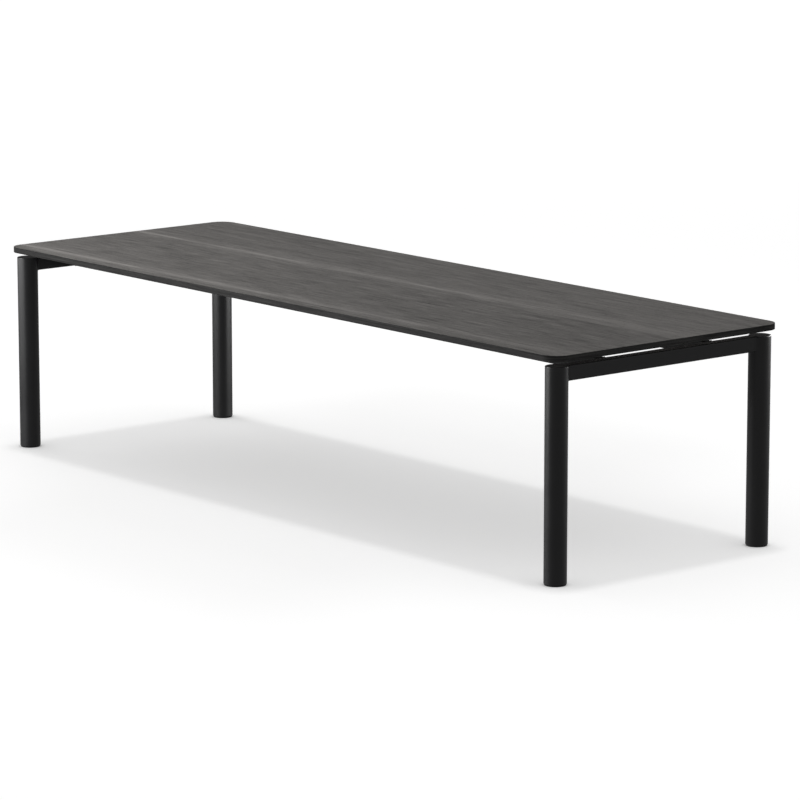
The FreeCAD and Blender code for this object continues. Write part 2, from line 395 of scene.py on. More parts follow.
@dataclass(frozen=True)
class PaleStreak:
    """A pale streak along a leaf of veneer: a thin line in a wide glow, faint or broken in places."""

    place: float = 0.068
    width: float = 0.022
    glow_above: float = 0.100
    glow_below: float = 0.075
    line_tone: float = 0.235
    line_step: float = 0.035
    glow_tone: float = 0.095
    drift: float = 0.008
    drift_scale: float = 0.9
    drift_seed: float = 4.0
    patch_scale: float = 2.6
    patch_seed: float = 9.0
    patch_range: tuple[float, float] = (0.22, 0.55)
    patch_floor: float = 0.5
    gap_place: float = -0.70
    gap_reach: tuple[float, float] = (0.14, 0.03)
    gap_depth: float = 0.75
    fade_range: tuple[float, float] = (2.0, -1.4)
    line_floor: float = 0.25
    glow_floor: float = 0.5

    def tone(self, kit: NodeKit, x: Value, along: Value, across: Value, leaf: Value) -> Value:
        """How much paler the veneer is.

        Args:
            kit: the material's nodes.
            x: metres along the table, over which the streak fades.
            along: metres along the leaf.
            across: metres across the leaf.
            leaf: the leaf's number.

        Returns:
            The tone that the streak adds.
        """
        drift = kit.noise(along * self.drift_scale, leaf, self.drift_seed).stray(self.drift)
        above = across + drift - self.place
        line = above.size().rise(self.width, 0.0)
        glow = above.rise(-self.glow_below, 0.0) * above.rise(self.glow_above, 0.0)
        gap = (along - self.gap_place).size().rise(*self.gap_reach)
        patches = kit.noise(along * self.patch_scale, leaf, self.patch_seed).rise(*self.patch_range)
        broken = patches.lifted(self.patch_floor) * (1 - gap * self.gap_depth)
        fade = x.rise(*self.fade_range).lifted(self.line_floor)
        return (line * broken * fade * (self.line_tone - leaf * self.line_step)
                + glow * fade.lifted(self.glow_floor) * self.glow_tone)


@dataclass(frozen=True)
class OakVeneer(OakFinish):
    """Veneer laid in leaves side by side, each with a pale streak that runs its whole length.

    A step is how much a value changes from one leaf to the next.
    """

    first_seam: float = -0.500
    leaf_width: float = 0.520
    leaf_slip: float = 0.30
    seed_step: float = 0.35
    contrast: float = 1.12
    contrast_step: float = -0.30
    tone_step: float = 0.023
    # Painted light and shade along the table: the tone's slope along X, and how that slope changes from
    # leaf to leaf.
    slope: float = -0.014
    slope_step: float = 0.026
    streak: PaleStreak = PaleStreak()

    def paint(self, kit: NodeKit) -> None:
        """Adds the nodes: the same cut of grain slips sideways from leaf to leaf.

        Args:
            kit: the material's nodes.
        """
        x, y, _ = kit.place()
        leaf = ((y - self.first_seam) / self.leaf_width).floor()
        across = y - self.first_seam - leaf * self.leaf_width
        along = x - leaf * self.leaf_slip
        stray, pores = self.grain(kit, along, across, leaf * self.seed_step)
        contrast = leaf * self.contrast_step + self.contrast
        slope = leaf * self.slope_step + self.slope
        # Painted light and shade: the tone slopes along the table, with a slope of its own in each leaf.
        tone = stray * contrast + leaf * self.tone_step + x * slope + self.mean_tone
        self.lacquer(kit, tone + self.streak.tone(kit, x, along, across, leaf), pores)


@dataclass(frozen=True)
class OakEdge(OakFinish):
    """Edge band of the same oak, with its grain along the band, and painted shade that darkens it towards
    the right end.
    """

    seed: float = 7.0
    # Painted shade: how much the band darkens towards the right end, over this range along X.
    painted_shade: float = 0.05
    painted_shade_range: tuple[float, float] = (-0.5, 1.5)

    def paint(self, kit: NodeKit) -> None:
        """Adds the nodes: grain along the band, less a smooth painted shade along the table.

        Args:
            kit: the material's nodes.
        """
        x, _, _ = kit.place()
        along, across = kit.strip()
        stray, pores = self.grain(kit, along, across, self.seed)
        self.lacquer(kit, stray - x.rise(*self.painted_shade_range) * self.painted_shade + self.mean_tone, pores)


@dataclass(frozen=True)
class PowderCoat(Finish):
    """Satin black powder coat with a fine orange-peel surface."""

    dark: Colour = (0.0030, 0.0030, 0.0034, 1.0)
    light: Colour = (0.0055, 0.0055, 0.0062, 1.0)
    roughness: float = 0.35
    specular: float = 0.45
    relief_share: float = 0.6
    peel_scale: float = 620.0
    speck_scale: float = 2600.0
    cloud_scale: float = 9.0
    speck_in_tone: float = 0.4
    speck_in_relief: float = 0.2
    cloud_dullness: float = 0.10
    speck_dullness: float = 0.06

    def paint(self, kit: NodeKit) -> None:
        """Adds the nodes: clouds and specks tint the coat, and its peel and specks give the relief.

        Args:
            kit: the material's nodes.
        """
        peel = kit.mottle(self.peel_scale)
        speck = kit.mottle(self.speck_scale, detail=1.0)
        cloud = kit.mottle(self.cloud_scale, detail=3.0)
        dullness = cloud.stray(self.cloud_dullness) + speck.stray(self.speck_dullness)
        tone = cloud.mixed(speck, self.speck_in_tone)
        self.cover(kit, tone, dullness, peel.mixed(speck, self.speck_in_relief))


@dataclass(frozen=True)
class MouldedNylon(Finish):
    """Black moulded nylon with a spark-eroded texture."""

    dark: Colour = (0.0055, 0.0055, 0.0060, 1.0)
    light: Colour = (0.0110, 0.0110, 0.0118, 1.0)
    roughness: float = 0.58
    specular: float = 0.3
    relief_depth: float = 0.04 * MM
    texture_scale: float = 1500.0
    flow_scale: float = 30.0
    texture_in_tone: float = 0.5
    texture_dullness: float = 0.2

    def paint(self, kit: NodeKit) -> None:
        """Adds the nodes: the texture gives the relief and, with slow flow marks, the tint.

        Args:
            kit: the material's nodes.
        """
        texture = kit.mottle(self.texture_scale, detail=3.0, roughness=0.6)
        flow = kit.mottle(self.flow_scale)
        tone = flow.mixed(texture, self.texture_in_tone)
        self.cover(kit, tone, texture.stray(self.texture_dullness), texture)


@dataclass(frozen=True)
class PlatedMetal(Finish):
    """Plated or turned metal with fine scratches and a slight change of tint."""

    dark: Colour = (0.40, 0.42, 0.46, 1.0)
    light: Colour = (0.66, 0.66, 0.64, 1.0)
    roughness: float = 0.30
    metallic: float = 1.0
    relief_depth: float = 0.01 * MM
    relief_share: float = 0.4
    cloud_scale: float = 160.0
    scratch_scale: float = 900.0
    scratch_scale_up: float = 7000.0
    tint_range: tuple[float, float] = (0.3, 0.7)
    scratch_dullness: float = 0.25
    cloud_dullness: float = 0.1

    def paint(self, kit: NodeKit) -> None:
        """Adds the nodes: clouds tint the metal, and scratches give the relief.

        Args:
            kit: the material's nodes.
        """
        cloud = kit.mottle(self.cloud_scale, detail=3.0)
        scratch = kit.mottle(self.scratch_scale, upright=self.scratch_scale_up)
        dullness = scratch.stray(self.scratch_dullness) + cloud.stray(self.cloud_dullness)
        self.cover(kit, cloud.rise(*self.tint_range), dullness, scratch)


@dataclass(frozen=True)
class RawBoard(Finish):
    """Raw fibreboard of the core, with a fine felted fleck."""

    dark: Colour = (0.20, 0.13, 0.08, 1.0)
    light: Colour = (0.42, 0.30, 0.19, 1.0)
    roughness: float = 0.85
    fleck_scale: float = 700.0
    fleck_scale_up: float = 1600.0
    fleck_range: tuple[float, float] = (0.25, 0.75)
    fleck_dullness: float = 0.1

    def paint(self, kit: NodeKit) -> None:
        """Adds the nodes: the fleck gives both the tint and the relief."""
        fleck = kit.mottle(self.fleck_scale, detail=3.0, roughness=0.6, upright=self.fleck_scale_up)
        self.cover(kit, fleck.rise(*self.fleck_range), fleck.stray(self.fleck_dullness), fleck)


VENEER = OakVeneer("oak_veneer")
EDGE = OakEdge("oak_edge", dark=grey(0.003, 0.02), light=grey(0.049, 0.03))
COAT = PowderCoat("frame_coat")
FOOT_NYLON = MouldedNylon("foot_plastic")
SPACER_NYLON = MouldedNylon("spacer_plastic")
ZINC = PlatedMetal("zinc_steel")
BRASS = PlatedMetal("insert_brass", dark=(0.48, 0.33, 0.12, 1.0), light=(0.74, 0.57, 0.27, 1.0))
CORE = RawBoard("core_board")


@dataclass(frozen=True)
class Surface:
    """Points, four-sided faces and one UV pair for each point."""

    points: Array
    quads: Array
    uv: Array

    @classmethod
    def grid(cls, points: Array, uv: Array | None = None) -> "Surface":
        """A surface over two parameters.

        Args:
            points: places, by row and column.
            uv: UV pairs, by row and column.

        Returns:
            One face between each four neighbours.
        """
        rows, columns = points.shape[:2]
        index = np.arange(rows * columns).reshape(rows, columns)
        quads = np.stack([index[:-1, :-1], index[:-1, 1:], index[1:, 1:], index[1:, :-1]], -1)
        pairs = np.zeros((rows, columns, 2)) if uv is None else uv
        return cls(points.reshape(-1, 3), quads.reshape(-1, 4), pairs.reshape(-1, 2))

    @classmethod
    def joined(cls, parts: Sequence["Surface"]) -> "Surface":
        """Several surfaces as one."""
        starts = np.cumsum([0] + [len(part.points) for part in parts[:-1]])
        return cls(np.concatenate([part.points for part in parts]),
                   np.concatenate([part.quads + start for part, start in zip(parts, starts)]),
                   np.concatenate([part.uv for part in parts]))

    def placed(self, offset: Sequence[float], axes: Array | None = None) -> "Surface":
        """A copy that is turned, with its X, Y and Z to the rows of axes, and then moved."""
        turned = self.points if axes is None else self.points @ axes
        return Surface(turned + np.asarray(offset, float), self.quads, self.uv)


@dataclass(frozen=True)
class RoundedRectangle:
    """An outline with round corners, centred on its own origin."""

    length: float
    width: float
    radius: float
    steps: int = 10
    ease: float = 0.3 * MM
    lip_share: float = 0.6

    def loop(self) -> tuple[Array, Array]:
        """Points and outward normals once round, the first repeated at the end.

        Each corner is centre + radius (cos a, sin a) over a quarter turn, with one more point a
        little way along the straight on each side, which keeps the shading of the straights flat.

        Returns:
            The points and the normals.
        """
        turn = np.linspace(0, math.pi / 2, self.steps + 1)
        turn = np.concatenate([turn[:1], turn, turn[-1:]])
        angle = np.arange(4)[:, None] * (math.pi / 2) + turn
        normal = np.stack([np.cos(angle), np.sin(angle)], -1)
        tangent = np.stack([-np.sin(angle), np.cos(angle)], -1)
        sign = np.array([(1, 1), (-1, 1), (-1, -1), (1, -1)])[:, None]
        centre = sign * (np.array([self.length, self.width]) / 2 - self.radius)
        slide = np.zeros(len(turn))
        slide[0] = -self.ease
        slide[-1] = self.ease
        points = (centre + normal * self.radius + tangent * slide[:, None]).reshape(-1, 2)
        normals = normal.reshape(-1, 2)
        return np.vstack([points, points[:1]]), np.vstack([normals, normals[:1]])

    def ring(self, profile: Array) -> Surface:
        """A profile carried round the outline.

        Args:
            profile: closed corners, each as distance outwards from the outline and height.

        Returns:
            The ring, with UV pairs in metres along the outline and up the profile.
        """
        points, normals = self.loop()
        outwards, height = profile[:, :1, None], profile[:, 1:]
        flat = points + normals * outwards
        up = np.broadcast_to(height, flat.shape[:2])
        steps = np.linalg.norm(np.diff(points, axis=0), axis=1)
        along = np.concatenate([[0.0], np.cumsum(steps)])
        uv = np.stack(np.broadcast_arrays(along, height), -1)
        return Surface.grid(np.concatenate([flat, up[..., None]], -1), uv)

    def slab(self, low: float, high: float, rounding: float) -> Surface:
        """A flat board with softened edges.

        The rings run from the middle line of the upper face out to its edge, down the side and
        back to the middle line of the lower face. A lip, which lies a share of the corner radius in
        from the edge, keeps the faces flat.

        Args:
            low: height of the lower face.
            high: height of the upper face.
            rounding: radius of the edges.

        Returns:
            The closed board.
        """
        lip = -self.radius * self.lip_share
        edge = soft_profile([(lip, high, 0), (0, high, rounding), (0, low, rounding), (lip, low, 0)], False)
        points, normals = self.loop()
        spine = (self.length - self.width) / 2
        middle = np.stack([np.clip(points[:, 0], -spine, spine), 0 * points[:, 1]], -1)
        flat = points + normals * edge[:, :1, None]
        flat = np.concatenate([middle[None], flat, middle[None]])
        height = np.concatenate([[high], edge[:, 1], [low]])[:, None]
        up = np.broadcast_to(height, flat.shape[:2])
        return Surface.grid(np.concatenate([flat, up[..., None]], -1))


def soft_profile(corners: Sequence[tuple[float, float, float]], closed: bool, steps: int = 5,
                 ease: float = 0.15 * MM) -> Array:
    """A profile with rounded corners.

    Each corner becomes an arc that touches both of its sides, found by turning the radius at one
    touching point into the radius at the other. One more point past each end of an arc keeps the
    shading of the flats true.

    Args:
        corners: each corner's distance across, height and rounding radius.
        closed: whether the last corner joins the first.
        steps: faces in each arc.
        ease: how far past an arc the extra points lie.

    Returns:
        The points, with the first repeated at the end of a closed profile.
    """
    table = np.array(corners, float)
    spot = table[:, :2]
    rounding = np.maximum(table[:, 2:], LEAST_ROUNDING)
    back = np.roll(spot, 1, 0) - spot
    ahead = np.roll(spot, -1, 0) - spot
    back /= np.linalg.norm(back, axis=1, keepdims=True)
    ahead /= np.linalg.norm(ahead, axis=1, keepdims=True)
    half = np.arccos(np.clip((back * ahead).sum(1, keepdims=True), -1, 1)) / 2
    reach = rounding / np.tan(half)
    inward = back + ahead
    inward /= np.linalg.norm(inward, axis=1, keepdims=True)
    centre = spot + inward * rounding / np.sin(half)
    start = (spot + back * reach - centre)[:, None]
    stop = (spot + ahead * reach - centre)[:, None]
    swing = (math.pi - 2 * half)[:, None]
    share = np.linspace(0, 1, steps + 1)[:, None]
    turned = np.sin((1 - share) * swing) * start + np.sin(share * swing) * stop
    arc = centre[:, None] + turned / np.sin(swing)
    lead = (spot + back * (reach + ease))[:, None]
    tail = (spot + ahead * (reach + ease))[:, None]
    path = np.concatenate([lead, arc, tail], 1)
    if closed:
        points = path.reshape(-1, 2)
        return np.vstack([points, points[:1]])
    return np.vstack([spot[:1], path[1:-1].reshape(-1, 2), spot[-1:]])


def rings(radius: Array, height: Array) -> Surface:
    """A surface of rings about Z: (radius cos a, radius sin a, height) over a full turn.

    Args:
        radius: each ring's radius, or its radii round the turn.
        height: each ring's height, or its heights round the turn.

    Returns:
        The surface, whose seam and poles close when its doubles are merged.
    """
    radius, height = np.broadcast_arrays(radius, height)
    angle = np.linspace(0, FULL_TURN, radius.shape[1])
    return Surface.grid(np.stack([radius * np.cos(angle), radius * np.sin(angle), height], -1))


def lathe(profile: Array, steps: int = 96) -> Surface:
    """A profile of radii and heights, turned about Z."""
    return rings(np.repeat(profile[:, :1], steps + 1, 1), profile[:, 1:])


def hexagon(angle: Array, width: float) -> Array:
    """Radius of a hexagon of that width across flats, at each angle."""
    sixth = math.pi / 3
    return width / 2 / np.cos((angle + sixth / 2) % sixth - sixth / 2)


def weld_bead(root: Array, along: Array, outward: Array, size: Array, seat: Callable[[Array], Array],
              fullness: float = 0.32, steps: int = 6) -> Surface:
    """A fillet weld round a joint.

    Across the bead, a curve runs from a toe on the tube to a toe on the other piece, drawn in
    towards the root, as a quadratic blend of the three points.

    Args:
        root: points round the joint, the first repeated at the end.
        along: direction from the joint back along the tube.
        outward: the tube's normals at the joint.
        size: leg length of the bead at each point.
        seat: moves points onto the other piece.
        fullness: how far out from the root the curve is drawn, as a share of a leg.
        steps: faces across the bead.

    Returns:
        The closed bead.
    """
    leg = size[:, None]
    toe_on_tube = root + along * leg
    toe_on_seat = seat(root + outward * leg)
    middle = root + (along + outward) * leg * fullness
    share = np.linspace(0, 1, steps + 1)[:, None, None]
    curve = (1 - share) ** 2 * toe_on_tube + 2 * share * (1 - share) * middle + share ** 2 * toe_on_seat
    return Surface.grid(np.concatenate([curve, root[None], curve[:1]]))


def make_piece(name: str, surface: Surface, finish: Finish, nodes: Sequence[str] = (),
               body: str = TABLE_BODY) -> bpy.types.Object:
    """Puts a surface into a mesh, closes it, dresses it and lets it ride on its body.

    Args:
        name: the piece's name.
        surface: its shape, in the frame's axes.
        finish: its finish.
        nodes: the nodes that it stands for.
        body: the body that carries it.

    Returns:
        The piece.
    """
    mesh = bpy.data.meshes.new(name)
    mesh.from_pydata(surface.points.tolist(), [], surface.quads.tolist())
    corner = np.empty(len(mesh.loops), np.int32)
    mesh.loops.foreach_get("vertex_index", corner)
    layer = mesh.uv_layers.new(name="strip")
    layer.data.foreach_set("uv", surface.uv[corner].astype(np.float32).ravel())
    shape = bmesh.new()
    shape.from_mesh(mesh)
    bmesh.ops.remove_doubles(shape, verts=shape.verts, dist=MERGE_DISTANCE)
    bmesh.ops.dissolve_degenerate(shape, edges=shape.edges, dist=MERGE_DISTANCE)
    bmesh.ops.recalc_face_normals(shape, faces=shape.faces)
    shape.to_mesh(mesh)
    shape.free()
    mesh.shade_smooth()
    mesh.set_sharp_from_angle(angle=SHARP_ANGLE)
    mesh.materials.append(finish.material())
    piece = bpy.data.objects.new(name, mesh)
    bpy.context.scene.collection.objects.link(piece)
    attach(piece, body)
    if nodes:
        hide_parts(*nodes)
    LOG.info("%s: %d faces on %s", name, len(mesh.polygons), body)
    return piece


def dress_node(node: str, finish: Finish) -> None:
    """Gives a node of the frame a finish, with its shape left as it is.

    Args:
        node: the node's name.
        finish: its finish.
    """
    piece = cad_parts[node]
    if not piece.material_slots:
        piece.data.materials.append(None)
    for slot in piece.material_slots:
        slot.material = finish.material()
    LOG.info("%s: finish %s", node, finish.slot)


def node_centre(node: str) -> Array:
    """Middle of a node's box."""
    low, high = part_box(node)
    return (np.array(low) + np.array(high)) / 2


def node_size(node: str) -> Array:
    """Size of a node's box."""
    low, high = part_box(node)
    return np.array(high) - np.array(low)


@dataclass
class TableTop:
    """Core board, face and backing veneers, and the edge band round them."""

    corner_radius: float = 60 * MM
    corner_steps: int = 20
    band_thickness: float = 2 * MM
    band_arris: float = 0.9 * MM
    seam_ease: float = 0.12 * MM

    def build(self) -> None:
        """Makes the veneer and the band, and finishes the rest."""
        low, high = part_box("edge_band")
        length, width, _ = node_size("edge_band")
        outer = RoundedRectangle(length, width, self.corner_radius, self.corner_steps)
        profile = soft_profile([(0, low.z, self.band_arris), (0, high.z, self.band_arris),
                                (-self.band_thickness, high.z, self.seam_ease),
                                (-self.band_thickness, low.z, self.seam_ease)], True)
        make_piece("oak_edge_band", outer.ring(profile), EDGE, ["edge_band"])
        inset = 2 * self.band_thickness
        sheet = RoundedRectangle(length - inset, width - inset, self.corner_radius - self.band_thickness,
                                 self.corner_steps)
        face_low, face_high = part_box("face_veneer")
        face = sheet.slab(face_low.z, face_high.z, self.seam_ease)
        make_piece("oak_face_veneer", face, VENEER, ["face_veneer"])
        dress_node("backing_veneer", VENEER)
        dress_node("tabletop_core", CORE)
        dress_node("top_inserts", BRASS)


@dataclass
class RoundLeg:
    """A leg tube with its cap, and the plug and insert in its foot."""

    corner: Corner
    wall: float = 3 * MM
    rim_radius: float = 2 * MM
    foot_rim: float = 0.6 * MM
    seam_ease: float = 0.25 * MM
    rim_steps: int = 8
    round_steps: int = 128

    @property
    def tube(self) -> str:
        """The leg tube's node."""
        return f"leg_tube_{self.corner.label}"

    @property
    def axis(self) -> Array:
        """Where the leg stands."""
        return node_centre(self.tube)[:2]

    @property
    def radius(self) -> float:
        """Outer radius of the tube."""
        return float(node_size(self.tube)[0]) / 2

    def build(self) -> bpy.types.Object:
        """Makes the tube and its cap, and finishes the plug and the insert.

        Returns:
            The tube.
        """
        low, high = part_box(self.tube)
        bore = self.radius - self.wall
        tube = soft_profile([(self.radius, low.z, self.foot_rim), (self.radius, high.z, self.rim_radius),
                             (bore, high.z, self.seam_ease), (bore, low.z, self.seam_ease)],
                            True, self.rim_steps)
        offset = (*self.axis, 0.0)
        shaft = lathe(tube, self.round_steps).placed(offset)
        leg = make_piece(f"round_leg_{self.corner.label}", shaft, COAT, [self.tube])
        cap = f"leg_cap_{self.corner.label}"
        cap_low, cap_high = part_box(cap)
        disc = soft_profile([(0, cap_high.z, 0), (bore, cap_high.z, self.seam_ease),
                             (bore, cap_low.z, self.seam_ease), (0, cap_low.z, 0)], False)
        make_piece(f"welded_cap_{self.corner.label}", lathe(disc).placed(offset), COAT, [cap])
        dress_node(f"leg_plug_{self.corner.label}", FOOT_NYLON)
        dress_node(f"foot_insert_{self.corner.label}", BRASS)
        return leg


@dataclass
class TubeSection:
    """The rectangular tube of the rails and beams."""

    width: float
    height: float
    wall: float = 2 * MM
    radius: float = 4 * MM
    inner_radius: float = 2 * MM
    corner_steps: int = 6

    def outer(self) -> RoundedRectangle:
        """Outline of the outside, across and up."""
        return RoundedRectangle(self.width, self.height, self.radius, self.corner_steps)

    def inner(self) -> RoundedRectangle:
        """Outline of the hollow."""
        walls = 2 * self.wall
        return RoundedRectangle(self.width - walls, self.height - walls, self.inner_radius,
                                self.corner_steps)


@dataclass
class EndRail:
    """An end rail, coped to the round of its two legs and welded to them at its sides and below.

    The weld's leg is its full size times 1 - taper * (how far up the wall faces), where that share
    is kept between a small one and 1.
    """

    end: End
    weld: float = 3.5 * MM
    weld_taper: float = 1.6
    weld_least: float = 0.04
    stations: int = 9

    def coped(self, outline: RoundedRectangle, reach: float, leg_radius: float) -> Array:
        """The rail's wall: a section carried along Y until it meets the legs.

        At a distance d across from the leg's axis, the wall ends where Y is reach - sqrt(r^2 - d^2).

        Args:
            outline: the section.
            reach: distance from the rail's middle to a leg's axis.
            leg_radius: the leg's radius.

        Returns:
            Points by place round the section and along the rail.
        """
        across, up = outline.loop()[0].T[:, :, None]
        along = (reach - np.sqrt(leg_radius ** 2 - across ** 2)) * np.linspace(-1, 1, self.stations)
        return np.stack(np.broadcast_arrays(across, along, up), -1)

    def build(self, leg: RoundLeg) -> None:
        """Makes the rail and the weld at each leg.

        Args:
            leg: one of the rail's legs.
        """
        node = f"end_rail_{self.end.label}"
        width, _, height = node_size(node)
        section = TubeSection(width, height)
        middle = node_centre(node)
        reach = abs(leg.axis[1] - middle[1])
        outer = self.coped(section.outer(), reach, leg.radius)
        inner = self.coped(section.inner(), reach, leg.radius)
        ends = [Surface.grid(np.stack([outer[:, side], inner[:, side]])) for side in (0, -1)]
        rail = Surface.joined([Surface.grid(outer), Surface.grid(inner), *ends])
        make_piece(f"coped_rail_{self.end.label}", rail.placed(middle), COAT, [node])
        normals = section.outer().loop()[1]
        outward = np.stack([normals[:, 0], 0 * normals[:, 0], normals[:, 1]], -1)
        size = self.weld * np.clip(1 - self.weld_taper * normals[:, 1], self.weld_least, 1.0)
        for side, sign in ((0, Side.FRONT.value), (-1, Side.BACK.value)):
            def onto_leg(points: Array, sign: int = sign) -> Array:
                """Moves points along Y onto the leg's round."""
                depth = sign * (reach - np.sqrt(leg.radius ** 2 - points[:, 0] ** 2))
                return np.stack([points[:, 0], depth, points[:, 2]], -1)
            bead = weld_bead(outer[:, side], np.array([0.0, -sign, 0.0]), outward, size, onto_leg)
            label = Side(sign).label
            make_piece(f"rail_weld_{label}_{self.end.label}", bead.placed(middle), COAT)


@dataclass
class LongBeam:
    """A long beam, holed below for the driver, with a welded plate at each end.

    The weld's leg is its full size times taper * (how far sideways the wall faces) - cut, where
    that share is kept between a small one and 1, so the upper and lower flats are almost bare.
    """

    side: Side
    spacers: Sequence[str]
    access_radius: float = 7 * MM
    hole_ease: float = 0.4 * MM
    patch_half_length: float = 11 * MM
    long_steps: int = 8
    short_steps: int = 6
    ring_shares: tuple[float, ...] = (0.0, 0.5, 0.92, 1.0)
    weld: float = 4 * MM
    weld_taper: float = 1.4
    weld_cut: float = 0.3
    weld_least: float = 0.04
    plate_radius: float = 4 * MM
    plate_steps: int = 6
    plate_ease: float = 0.6 * MM

    def wall(self, outline: RoundedRectangle, stations: Array) -> tuple[Array, float, float]:
        """The wall without its lower flat, carried along X.

        Args:
            outline: the section.
            stations: places along the beam.

        Returns:
            Points by place round the section and along the beam, half the width of the lower
            flat, and its height.
        """
        points = outline.loop()[0][:-1]
        points = np.roll(points, len(points) // 4, axis=0)
        across, up = points.T[:, :, None]
        grid = np.stack(np.broadcast_arrays(stations, across, up), -1)
        return grid, float(across[0, 0]), float(up[0, 0])

    def patch(self, half_width: float, height: float, hole: float) -> Array:
        """A rectangle round a hole: rings that go in from the rectangle to the circle.

        Args:
            half_width: half the width of the flat.
            height: the flat's height.
            hole: radius of the circle.

        Returns:
            Points by ring and place round the ring, about the hole's centre.
        """
        along = np.linspace(-1, 1, self.long_steps + 1) * self.patch_half_length
        across = np.linspace(-1, 1, self.short_steps + 1) * half_width
        x = np.concatenate([along, np.full(self.short_steps, along[-1]), along[-2::-1],
                            np.full(self.short_steps, along[0])])
        y = np.concatenate([np.full(self.long_steps + 1, across[0]), across[1:],
                            np.full(self.long_steps, across[-1]), across[-2::-1]])
        angle = np.arctan2(y, x)
        share = np.array(self.ring_shares)[:, None]
        ring_x = x * (1 - share) + hole * np.cos(angle) * share
        ring_y = y * (1 - share) + hole * np.sin(angle) * share
        return np.stack([ring_x, ring_y, np.full_like(ring_x, height)], -1)

    def flat(self, half_width: float, height: float, hole: float, holes: Array,
             stations: Array) -> Iterator[Surface]:
        """The lower flat: a patch round each hole, and plain strips between them.

        Args:
            half_width: half the width of the flat.
            height: the flat's height.
            hole: radius of the holes.
            holes: places of the holes along the beam.
            stations: the beam's ends, first and last.

        Returns:
            The patches and the strips.
        """
        patch = Surface.grid(self.patch(half_width, height, hole))
        across = np.linspace(-1, 1, self.short_steps + 1)[:, None] * half_width
        starts = np.concatenate([stations[:1], holes + self.patch_half_length])
        stops = np.concatenate([holes - self.patch_half_length, stations[-1:]])
        for start, stop in zip(starts, stops):
            strip = np.stack(np.broadcast_arrays(np.array([start, stop]), across, height), -1)
            yield Surface.grid(strip)
        for place in holes:
            yield patch.placed((place, 0.0, 0.0))

    def tube(self, section: TubeSection, half_length: float, holes: Array) -> Surface:
        """The whole beam: both walls, both flats, the edges of the holes and the ends.

        Args:
            section: the tube.
            half_length: half the beam's length.
            holes: places of the holes along the beam.

        Returns:
            The closed beam about its own middle.
        """
        offsets = np.linspace(-1, 1, self.long_steps + 1) * self.patch_half_length
        stations = np.concatenate([[-half_length], (holes[:, None] + offsets).ravel(), [half_length]])
        parts = []
        edges = []
        rims = []
        for outline, hole in ((section.outer(), self.access_radius + self.hole_ease),
                              (section.inner(), self.access_radius)):
            grid, half_width, height = self.wall(outline, stations)
            parts.append(Surface.grid(grid))
            parts.extend(self.flat(half_width, height, hole, holes, stations))
            rims.append(self.patch(half_width, height, hole)[-1])
            across = np.linspace(-1, 1, self.short_steps + 1)[1:] * half_width
            flat = np.stack(np.broadcast_arrays(0.0, across, height), -1)
            edges.append(np.concatenate([grid[:, 0] * (0, 1, 1), flat]))
        eased = rims[1].copy()
        eased[:, 2] = rims[0][:, 2] + self.hole_ease
        bore = Surface.grid(np.stack([rims[0], eased, rims[1]]))
        parts.extend(bore.placed((place, 0.0, 0.0)) for place in holes)
        cut = Surface.grid(np.stack(edges))
        parts.extend(cut.placed((place, 0.0, 0.0)) for place in (-half_length, half_length))
        return Surface.joined(parts)

    def build(self) -> None:
        """Makes the beam, its end plates and their welds."""
        node = f"long_beam_{self.side.label}"
        length, width, height = node_size(node)
        section = TubeSection(width, height)
        middle = node_centre(node)
        holes = np.sort([node_centre(spacer)[0] for spacer in self.spacers])
        beam = self.tube(section, length / 2, holes)
        make_piece(f"holed_beam_{self.side.label}", beam.placed(middle), COAT, [node])
        points, normals = section.outer().loop()
        outward = np.stack([0 * normals[:, 0], *normals.T], -1)
        sideways = np.abs(normals[:, 0])
        size = self.weld * np.clip(sideways * self.weld_taper - self.weld_cut, self.weld_least, 1.0)
        for end in End:
            root = np.stack([np.full(len(points), end.value * length / 2), *points.T], -1)
            bead = weld_bead(root, np.array([-end.value, 0.0, 0.0]), outward, size, lambda toe: toe)
            label = f"{self.side.label}_{end.label}"
            make_piece(f"beam_weld_{label}", bead.placed(middle), COAT)
            self.build_plate(label)

    def build_plate(self, label: str) -> None:
        """Makes one end plate, a board stood on edge across the beam.

        Args:
            label: the corner that the plate is near.
        """
        node = f"end_plate_{label}"
        thickness, width, height = node_size(node)
        board = RoundedRectangle(width, height, self.plate_radius, self.plate_steps)
        plate = board.slab(-thickness / 2, thickness / 2, self.plate_ease)
        axes = np.array([(0.0, 1.0, 0.0), (0.0, 0.0, 1.0), (1.0, 0.0, 0.0)])
        make_piece(f"flange_{label}", plate.placed(node_centre(node), axes), COAT, [node])


